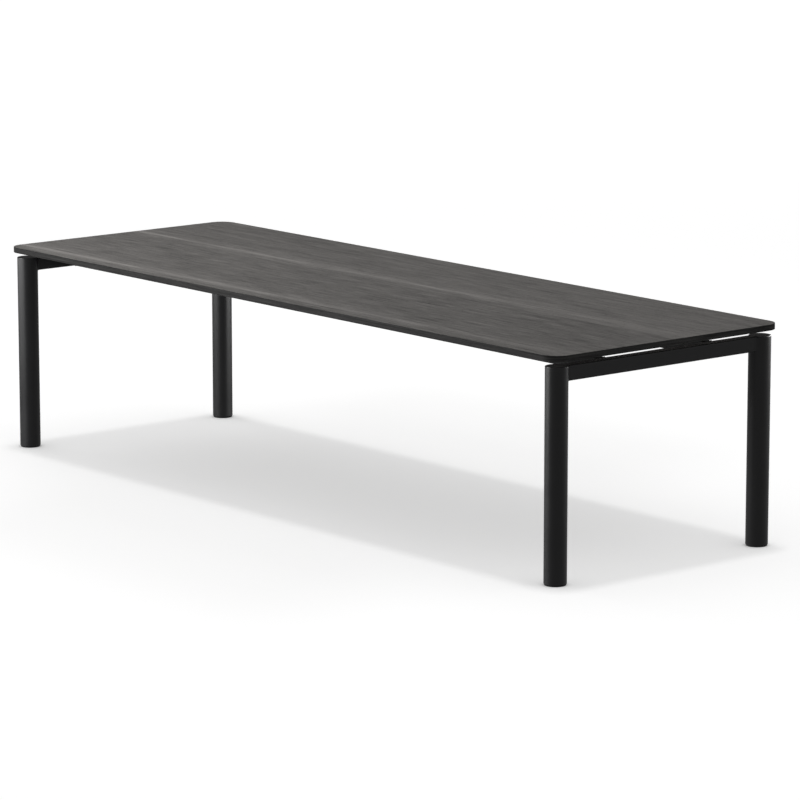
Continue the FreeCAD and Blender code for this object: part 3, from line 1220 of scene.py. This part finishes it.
@dataclass
class SocketScrew:
    """A screw with a hexagon socket, made along +Z with its head below the origin.

    The tip's rounding is a share of the diameter. The radius of the last ring round the socket and
    the height of the cone at its floor are shares of the socket's width.
    """

    diameter: float
    length: float
    head_diameter: float
    head_height: float
    socket_width: float
    socket_depth: float
    head_edge: float
    tip_share: float = 0.15
    ring_share: float = 0.66
    cone_share: float = 0.12
    neck_ease: float = 0.2 * MM
    seat_ease: float = 0.3 * MM
    socket_ease: float = 0.15 * MM
    arc_ease: float = 0.1 * MM
    arc_steps: int = 6
    round_steps: int = 72

    def surface(self) -> Surface:
        """The screw: rings from the tip up over the head and down into the socket.

        Each ring is a circle, apart from the socket's, which follow a hexagon.

        Returns:
            The closed screw.
        """
        shank = self.diameter / 2
        head = self.head_diameter / 2
        low = -self.head_height
        body = soft_profile([(0, self.length, 0), (shank, self.length, self.tip_share * self.diameter),
                             (shank, 0, self.neck_ease), (head, 0, self.seat_ease),
                             (head, low, self.head_edge), (self.socket_width * self.ring_share, low, 0)],
                            False, self.arc_steps, self.arc_ease)
        angle = np.linspace(0, FULL_TURN, self.round_steps + 1)
        flats = hexagon(angle, self.socket_width)
        floor = low + self.socket_depth
        cone = floor + self.cone_share * self.socket_width
        radius = np.concatenate([np.repeat(body[:, :1], len(angle), 1),
                                 [flats + self.socket_ease, flats, flats, 0 * flats]])
        height = np.concatenate([body[:, 1], [low, low + self.socket_ease, floor, cone]])
        return rings(radius, height[:, None])


@dataclass
class Fasteners:
    """Screws, bolts, washers and spacers under the top."""

    spacers: Sequence[str]
    washer_ease: float = 0.2 * MM
    spacer_ease: float = 0.8 * MM
    hole_clearance: float = 0.4 * MM
    arc_ease: float = 0.1 * MM
    arc_steps: int = 4
    round_steps: int = 64
    screw_diameter: float = 6 * MM
    screw_head_radius: float = 5.25 * MM
    screw_head_edge: float = 2.2 * MM
    screw_socket_width: float = 4 * MM
    screw_socket_depth: float = 2 * MM
    screw_washer_radius: float = 6 * MM
    bolt_diameter: float = 8 * MM
    bolt_length: float = 18.6 * MM
    bolt_head_diameter: float = 13 * MM
    bolt_head_height: float = 8 * MM
    bolt_head_edge: float = 0.8 * MM
    bolt_socket_width: float = 6 * MM
    bolt_socket_depth: float = 4 * MM
    bolt_washer_radius: float = 8 * MM
    bolt_washer_thickness: float = 1.6 * MM
    bolt_offset: float = 30 * MM

    def washer(self, outer: float, bore: float, low: float, high: float, ease: float) -> Surface:
        """A ring with softened edges.

        Args:
            outer: outer radius.
            bore: radius of the hole.
            low: lower height.
            high: upper height.
            ease: rounding of the edges.

        Returns:
            The closed ring about Z.
        """
        corners = [(outer, low, ease), (outer, high, ease), (bore, high, ease), (bore, low, ease)]
        profile = soft_profile(corners, True, self.arc_steps, self.arc_ease)
        return lathe(profile, self.round_steps)

    @property
    def screw_hole(self) -> float:
        """Radius of the holes that the screws go through."""
        return self.screw_diameter / 2 + self.hole_clearance

    def build_spacers(self) -> None:
        """Makes each spacer."""
        for node in self.spacers:
            low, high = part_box(node)
            centre = node_centre(node)
            radius = float(node_size(node)[0]) / 2
            ring = self.washer(radius, self.screw_hole, low.z, high.z, self.spacer_ease)
            make_piece(f"turned_{node}", ring.placed((centre[0], centre[1], 0.0)), SPACER_NYLON, [node])

    def build_top_screws(self) -> None:
        """Makes the screws that hold the top down, and their washers."""
        washer_low, washer_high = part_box("top_washers")
        screw_low, screw_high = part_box("top_screws")
        screw = SocketScrew(self.screw_diameter, screw_high.z - washer_low.z, 2 * self.screw_head_radius,
                            washer_low.z - screw_low.z, self.screw_socket_width,
                            self.screw_socket_depth, self.screw_head_edge).surface()
        washer = self.washer(self.screw_washer_radius, self.screw_hole, washer_low.z, washer_high.z,
                             self.washer_ease)
        places = [(*node_centre(node)[:2], 0.0) for node in self.spacers]
        lifted = screw.placed((0.0, 0.0, washer_low.z))
        screws = Surface.joined([lifted.placed(place) for place in places])
        washers = Surface.joined([washer.placed(place) for place in places])
        make_piece("button_screws", screws, ZINC, ["top_screws"])
        make_piece("screw_washers", washers, ZINC, ["top_washers"])

    def build_beam_bolts(self) -> None:
        """Makes the bolts and washers at the beam ends."""
        bolt = SocketScrew(self.bolt_diameter, self.bolt_length, self.bolt_head_diameter,
                           self.bolt_head_height, self.bolt_socket_width, self.bolt_socket_depth,
                           self.bolt_head_edge).surface()
        bore = self.bolt_diameter / 2 + self.hole_clearance
        washer = self.washer(self.bolt_washer_radius, bore, 0.0, self.bolt_washer_thickness,
                             self.washer_ease)
        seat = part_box("beam_washers")[1].x - self.bolt_washer_thickness
        bolts = []
        washers = []
        for corner in Corner:
            end, _ = corner.value
            axes = np.array([(0.0, 1.0, 0.0), (0.0, 0.0, float(end)), (float(end), 0.0, 0.0)])
            plate = node_centre(f"end_plate_{corner.label}")
            for offset in (-self.bolt_offset, self.bolt_offset):
                place = (end * seat, plate[1] + offset, plate[2])
                bolts.append(bolt.placed(place, axes))
                washers.append(washer.placed(place, axes))
        make_piece("socket_bolts", Surface.joined(bolts), ZINC, ["beam_bolts"])
        make_piece("bolt_washers", Surface.joined(washers), ZINC, ["beam_washers"])
        dress_node("rivet_nuts", ZINC)

    def build(self) -> None:
        """Makes all of them."""
        self.build_spacers()
        self.build_top_screws()
        self.build_beam_bolts()


@dataclass
class LevellingFoot:
    """A foot pad and the threaded stem that turns in it.

    The corners of the stem's collar are turned off at a share of its width.
    """

    corner: Corner
    pad_height: float = 5 * MM
    boss_radius: float = 12 * MM
    socket_floor: float = 2.5 * MM
    stem_radius: float = 5 * MM
    flange_radius: float = 7 * MM
    flange_thickness: float = 3.5 * MM
    clearance: float = 0.05 * MM
    collar_width: float = 17 * MM
    collar_low: float = 13.3 * MM
    collar_high: float = 19.3 * MM
    thread_pitch: float = 1.5 * MM
    thread_depth: float = 0.9 * MM
    pad_rounding: float = 1.5 * MM
    boss_ease: float = 0.5 * MM
    mouth_ease: float = 0.3 * MM
    socket_ease: float = 0.05 * MM
    collar_turn: float = 0.53
    collar_chamfer: float = 0.7 * MM
    arc_ease: float = 0.1 * MM
    arc_steps: int = 6
    pad_steps: int = 128
    stem_steps: int = 72
    pitch_steps: int = 8

    def pad(self, radius: float, top: float) -> Surface:
        """The pad: a disc with a rounded foot, and a boss with the stem's socket.

        Args:
            radius: the disc's radius.
            top: height of the boss.

        Returns:
            The closed pad about Z.
        """
        neck = self.stem_radius + self.clearance
        socket = self.flange_radius + self.clearance
        roof = self.socket_floor + 2 * self.clearance + self.flange_thickness
        disc = [(0, 0, 0), (radius, 0, self.pad_rounding), (radius, self.pad_height, self.boss_ease)]
        boss = [(self.boss_radius, self.pad_height, self.boss_ease),
                (self.boss_radius, top, self.boss_ease)]
        hollow = [(neck, top, self.mouth_ease), (neck, roof, self.socket_ease),
                  (socket, roof, self.socket_ease), (socket, self.socket_floor, self.socket_ease),
                  (0, self.socket_floor, 0)]
        profile = soft_profile(disc + boss + hollow, False, self.arc_steps, self.arc_ease)
        return lathe(profile, self.pad_steps)

    def stem(self, top: float) -> Surface:
        """The stem: flange, neck, hexagon collar and a right-hand thread.

        On the thread the radius falls from its crest by a triangle wave of height / pitch - turn,
        so the crest climbs one pitch in each turn.

        Args:
            top: height of the tip.

        Returns:
            The closed stem about Z.
        """
        angle = np.linspace(0, FULL_TURN, self.stem_steps + 1)
        low = self.socket_floor + self.clearance
        flange = low + self.flange_thickness
        flats = hexagon(angle, self.collar_width)
        turned = np.minimum(flats, self.collar_width * self.collar_turn)
        round_rings = np.array([(0, low), (self.flange_radius, low), (self.flange_radius, flange),
                                (self.stem_radius, flange), (self.stem_radius, self.collar_low)])
        start = self.collar_high + self.thread_pitch
        stop = top - self.thread_pitch
        steps = int((stop - start) / self.thread_pitch * self.pitch_steps)
        height = np.linspace(start, stop, steps + 1)[:, None]
        phase = (height / self.thread_pitch - angle / FULL_TURN) % 1.0
        ends = np.clip(np.minimum(height - start, stop - height) / self.thread_pitch, 0, 1)
        crest = self.stem_radius - self.thread_depth * ends * np.abs(2 * phase - 1)
        core = self.stem_radius - self.thread_depth
        circle = np.ones(len(angle))
        radius = np.concatenate([
            round_rings[:, :1] * circle, [turned, flats, flats, turned, self.stem_radius * circle], crest,
            [core * circle, 0 * circle]])
        levels = np.concatenate([
            round_rings[:, 1],
            [self.collar_low, self.collar_low + self.collar_chamfer, self.collar_high - self.collar_chamfer,
             self.collar_high, self.collar_high], height[:, 0], [top, top]])
        return rings(radius, levels[:, None])

    def build(self) -> None:
        """Makes the pad and the stem, each on its own body."""
        pad = f"foot_pad_{self.corner.label}"
        stem = f"foot_stem_{self.corner.label}"
        place = (*node_centre(pad)[:2], 0.0)
        disc = self.pad(float(node_size(pad)[0]) / 2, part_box(pad)[1].z).placed(place)
        make_piece(f"glide_{self.corner.label}", disc, FOOT_NYLON, [pad], f"pad_{self.corner.label}")
        screw = self.stem(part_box(stem)[1].z).placed(place)
        make_piece(f"threaded_stem_{self.corner.label}", screw, ZINC, [stem], f"stem_{self.corner.label}")


@dataclass(frozen=True)
class Softbox:
    """A flat lamp that lights some of the legs or the floor alone, or otherwise all but the floor."""

    name: str
    corners: tuple[Corner, ...]
    place: tuple[float, float, float]
    aim: tuple[float, float, float]
    width: float
    height: float
    power: float
    on_floor: bool = False


@dataclass
class Studio:
    """Floor, light and camera."""

    floor_half_size: float = 60.0
    floor_drop: float = 0.3 * MM
    wall_radius: float = 55.0
    wall_height: float = 40.0
    floor_glow: float = 0.475
    # Painted light: the floor glows more far away, rising to this level over far_range.
    painted_far_glow: float = 0.60
    far_range: tuple[float, float] = (5.0, 16.0)
    floor_tone: float = 0.75
    # Painted contact shade: for each, the reach of ambient occlusion and the share of the glow it takes
    # away near what stands on the floor.
    painted_contact_shades: tuple[tuple[float, float], ...] = ((0.13, 0.26), (0.016, 0.75))
    contact_shade_samples: int = 8
    # Painted shade: a skewed patch beside each long side of the table darkens the floor's glow.
    painted_halo_shade: float = 0.11
    painted_halo_skew: float = 0.36
    painted_halo_shift: float = 0.175
    painted_halo_start: tuple[float, float] = (0.55, 0.95)
    painted_halo_stop: tuple[float, float] = (1.8, 1.2)
    painted_halo_ends: tuple[float, float] = (1.3, 0.6)
    sky_base: float = 0.25
    sky_sides: float = 0.45
    sky_back: float = 0.31
    sky_far: float = 0.10
    sky_zenith: float = 0.60
    above_range: tuple[float, float] = (-0.04, 0.06)
    sides_range: tuple[float, float] = (0.3, 0.9)
    back_range: tuple[float, float] = (0.1, 0.8)
    zenith_range: tuple[float, float] = (0.25, 0.85)
    key_power: float = 1910.0
    key_size: float = 3.5
    key_place: tuple[float, float, float] = (-0.96, 0.78, 32.7)
    softboxes: tuple[Softbox, ...] = (
        Softbox("table_softbox", (), (-2.4, -3.6, 2.0), (-0.6, 0.0, 0.6), 2.6, 1.3, 250.0),
        Softbox("left_softbox", (Corner.FRONT_LEFT, Corner.BACK_LEFT),
                (-3.08, -3.45, 0.75), (-1.12, 0.03, 0.4), 6.7, 1.3, 115.0),
        Softbox("front_softbox", (Corner.FRONT_RIGHT,),
                (-3.31, -3.35, 0.75), (-1.35, 0.13, 0.4), 5.9, 1.3, 150.0),
        Softbox("back_softbox", (Corner.BACK_LEFT,),
                (0.73, 3.04, 0.75), (-1.77, 0.84, 0.4), 3.8, 1.3, 106.0),
        Softbox("right_softbox", (Corner.BACK_RIGHT, Corner.FRONT_RIGHT),
                (0.5, 3.3, 1.3), (-2.0, 1.1, 0.4), 4.5, 1.2, 345.0),
        Softbox("left_floor_softbox", (), (-4.0, -0.2, 4.0), (-1.3, 0.0, 0.0), 2.5, 2.5, 20.0, True),
        Softbox("right_floor_softbox", (), (4.0, 0.2, 4.0), (1.3, 0.0, 0.0), 2.5, 2.5, 9.0, True))
    azimuth: float = math.radians(50.237)
    elevation: float = math.radians(10.7654)
    distance: float = 14.6408
    target: tuple[float, float, float] = (0.07513, 0.05820, 0.33371)
    lens: float = 189.488
    sensor: float = 36.0
    clip_end: float = 200.0

    @property
    def camera_direction(self) -> Vector:
        """Direction from the table to the camera."""
        level = math.cos(self.elevation)
        return Vector((math.sin(self.azimuth) * level, -math.cos(self.azimuth) * level,
                       math.sin(self.elevation)))

    def link(self, name: str, data: bpy.types.ID, place: Sequence[float],
             towards: Vector) -> bpy.types.Object:
        """Adds a light or camera that looks in a direction.

        Args:
            name: the object's name.
            data: the light or camera.
            place: where it stands.
            towards: the direction that it looks in.

        Returns:
            The object.
        """
        made = bpy.data.objects.new(name, data)
        made.location = place
        made.rotation_euler = towards.to_track_quat("-Z", "Y").to_euler()
        bpy.context.scene.collection.objects.link(made)
        return made

    def set_up(self, name: str, surface: Surface) -> tuple[bpy.types.Object, NodeKit]:
        """Adds a surface of the studio, which no reflection shows.

        Args:
            name: the surface's name.
            surface: its points and faces.

        Returns:
            The object and its material's nodes.
        """
        mesh = bpy.data.meshes.new(name)
        mesh.from_pydata(surface.points.tolist(), [], surface.quads.tolist())
        material = bpy.data.materials.new(name)
        material.use_nodes = True
        mesh.materials.append(material)
        made = bpy.data.objects.new(name, mesh)
        bpy.context.scene.collection.objects.link(made)
        made.visible_glossy = False
        return made, NodeKit(material.node_tree)

    def painted_halo(self, x: Value, y: Value) -> Value:
        """Where painted shade darkens the floor a little: a skewed patch along each long side of the table.

        Args:
            x: metres along the table.
            y: metres across it.

        Returns:
            The patches, from 0 to 1.
        """
        beside = y.size()
        skewed = (x + y * self.painted_halo_skew + self.painted_halo_shift).size()
        return beside.rise(*self.painted_halo_start) * beside.rise(*self.painted_halo_stop) * skewed.rise(*self.painted_halo_ends)

    def build_floor(self) -> bpy.types.Object:
        """A plain pale floor that glows a little, with painted light that makes it glow more far away, and
        painted shade in the halo and by the feet.

        Returns:
            The floor.
        """
        edge = np.array([-self.floor_half_size, self.floor_half_size])
        across, along = np.meshgrid(edge, edge)
        sheet = np.stack([across, along, 0 * along - self.floor_drop], -1)
        floor, kit = self.set_up("floor", Surface.grid(sheet))
        x, y, _ = kit.place()
        # Painted light: the glow rises with distance from the middle of the floor.
        far = (x * x + y * y).math("SQRT").rise(*self.far_range)
        glow = kit.blend(far, grey(1.0), grey(self.painted_far_glow / self.floor_glow))
        # Painted shade: the glow is lowered in the skewed patch beside each long side.
        glow = kit.blend(self.painted_halo(x, y) * self.painted_halo_shade, glow, grey(0.0))
        # Painted contact shade: ambient occlusion takes a share of the glow wherever something stands
        # close.
        for reach, shade in self.painted_contact_shades:
            contact_occlusion = kit.node("ShaderNodeAmbientOcclusion", {"samples": self.contact_shade_samples},
                            {"Distance": reach})
            glow = kit.blend(Value(kit, contact_occlusion.outputs["AO"]).lifted(1 - shade), grey(0.0), glow)
        kit.finish({
            "Base Color": grey(self.floor_tone), "Roughness": 1.0, "Specular IOR Level": 0.0,
            "Emission Color": glow, "Emission Strength": self.floor_glow})
        return floor

    def build_backdrop(self) -> None:
        """A round white wall at the far end of the floor, which gives the table no light or shade."""
        profile = np.array([(self.wall_radius, -self.floor_drop), (self.wall_radius, self.wall_height)])
        wall, kit = self.set_up("backdrop", lathe(profile))
        wall.visible_diffuse = False
        wall.visible_shadow = False
        kit.finish({
            "Base Color": grey(0.0), "Roughness": 1.0, "Specular IOR Level": 0.0,
            "Emission Color": grey(1.0), "Emission Strength": 1.0})

    def build_sky(self) -> None:
        """Soft light from above and from both sides of the view, with a dark stretch behind the table.

        Below the level of the floor, only reflections meet the sky, which is bright there behind
        the table alone.
        """
        world = bpy.data.worlds.new("studio")
        world.use_nodes = True
        bpy.context.scene.world = world
        kit = NodeKit(world.node_tree)
        x, y, z = kit.split(kit.node("ShaderNodeTexCoord", {}, {}).outputs["Generated"])
        sideways = (x * math.cos(self.azimuth) + y * math.sin(self.azimuth)).size()
        facing = y * math.cos(self.azimuth) - x * math.sin(self.azimuth)
        above = z.rise(*self.above_range)
        sides = sideways.rise(*self.sides_range) * above * (self.sky_sides - self.sky_base)
        back = above * (self.sky_far - self.sky_back) + (self.sky_back - self.sky_base)
        low = sides + facing.rise(*self.back_range) * back + self.sky_base
        strength = low + (self.sky_zenith - low) * z.rise(*self.zenith_range)
        sky = kit.node("ShaderNodeBackground", {}, {"Color": grey(1.0), "Strength": strength})
        kit.node("ShaderNodeOutputWorld", {}, {"Surface": sky.outputs[0]})

    def receivers(self, name: str, pieces: Sequence[bpy.types.Object], state: str) -> bpy.types.Collection:
        """A list of what a lamp lights.

        Args:
            name: the list's name.
            pieces: the pieces on it.
            state: INCLUDE to light only them, or EXCLUDE to light all but them.

        Returns:
            The list.
        """
        made = bpy.data.collections.new(name)
        for piece in pieces:
            made.objects.link(piece)
        for member in made.collection_objects:
            member.light_linking.link_state = state
        return made

    def build_lights(self, floor: bpy.types.Object, legs: dict[Corner, bpy.types.Object]) -> None:
        """Adds a far lamp almost straight above, which casts the table's shadow, and the softboxes.

        Args:
            floor: the floor, which no softbox lights but its own two.
            legs: the legs by corner.
        """
        key = bpy.data.lights.new("overhead", "AREA")
        key.shape = "DISK"
        key.energy = self.key_power
        key.size = self.key_size
        self.link("overhead", key, self.key_place, -Vector(self.key_place))
        for box in self.softboxes:
            lamp = bpy.data.lights.new(box.name, "AREA")
            lamp.shape = "RECTANGLE"
            lamp.size = box.width
            lamp.size_y = box.height
            lamp.energy = box.power
            made = self.link(box.name, lamp, box.place, Vector(box.aim) - Vector(box.place))
            pieces = [floor] if box.on_floor else [legs[corner] for corner in box.corners]
            state = "INCLUDE" if pieces else "EXCLUDE"
            made.light_linking.receiver_collection = self.receivers(box.name, pieces or [floor], state)

    def build_camera(self) -> None:
        """The camera at the photograph's angle."""
        camera = bpy.data.cameras.new("camera")
        camera.lens = self.lens
        camera.sensor_width = self.sensor
        camera.clip_end = self.clip_end
        place = Vector(self.target) + self.camera_direction * self.distance
        bpy.context.scene.camera = self.link("camera", camera, place, -self.camera_direction)

    def build(self, legs: dict[Corner, bpy.types.Object]) -> None:
        """Makes the studio.

        Args:
            legs: the legs by corner, which have softboxes of their own.
        """
        bpy.context.scene.view_settings.view_transform = "Standard"
        floor = self.build_floor()
        self.build_backdrop()
        self.build_sky()
        self.build_lights(floor, legs)
        self.build_camera()


def main() -> None:
    """Builds the table and the studio."""
    logging.basicConfig(level=logging.INFO, format="%(name)s %(message)s")
    TableTop().build()
    legs = {corner: RoundLeg(corner) for corner in Corner}
    tubes = {corner: leg.build() for corner, leg in legs.items()}
    for end in End:
        EndRail(end).build(legs[Corner((end.value, Side.FRONT.value))])
    spacers = sorted(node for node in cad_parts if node.startswith("spacer_"))
    for side in Side:
        LongBeam(side, [node for node in spacers if node.startswith(f"spacer_{side.label}")]).build()
    Fasteners(spacers).build()
    for corner in Corner:
        LevellingFoot(corner).build()
    Studio().build(tubes)


if __name__ == "__main__":
    main()
